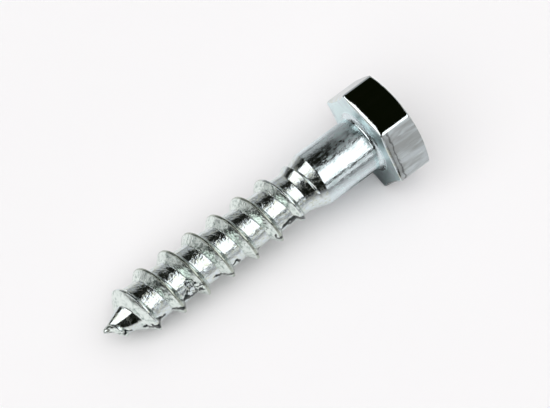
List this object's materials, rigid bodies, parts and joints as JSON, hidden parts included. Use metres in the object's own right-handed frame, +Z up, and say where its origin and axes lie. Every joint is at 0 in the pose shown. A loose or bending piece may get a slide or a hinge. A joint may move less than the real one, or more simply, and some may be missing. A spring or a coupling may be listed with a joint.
{
  "type": "lag screw",
  "caption": "Hex head lag screw with a plain shank, a coarse right-hand wood thread and a cone point, in bright zinc plate.",
  "frame": {"origin": "middle of the screw's length and width, on the flat surface that it lies on", "axes": "+X along the screw towards the head, level with the surface; +Z up from the surface; +Y across. The screw's own axis rises 4.25 degrees from the point to the head, because it rests on the edge of a head flat and on the first full crest of the thread"},
  "size_m": [0.0568, 0.0184, 0.0164],
  "materials": {
    "zinc_plate": "gloss"
  },
  "bodies": {
    "root": {"lag_screw": "zinc_plate"}
  },
  "joints": []
}
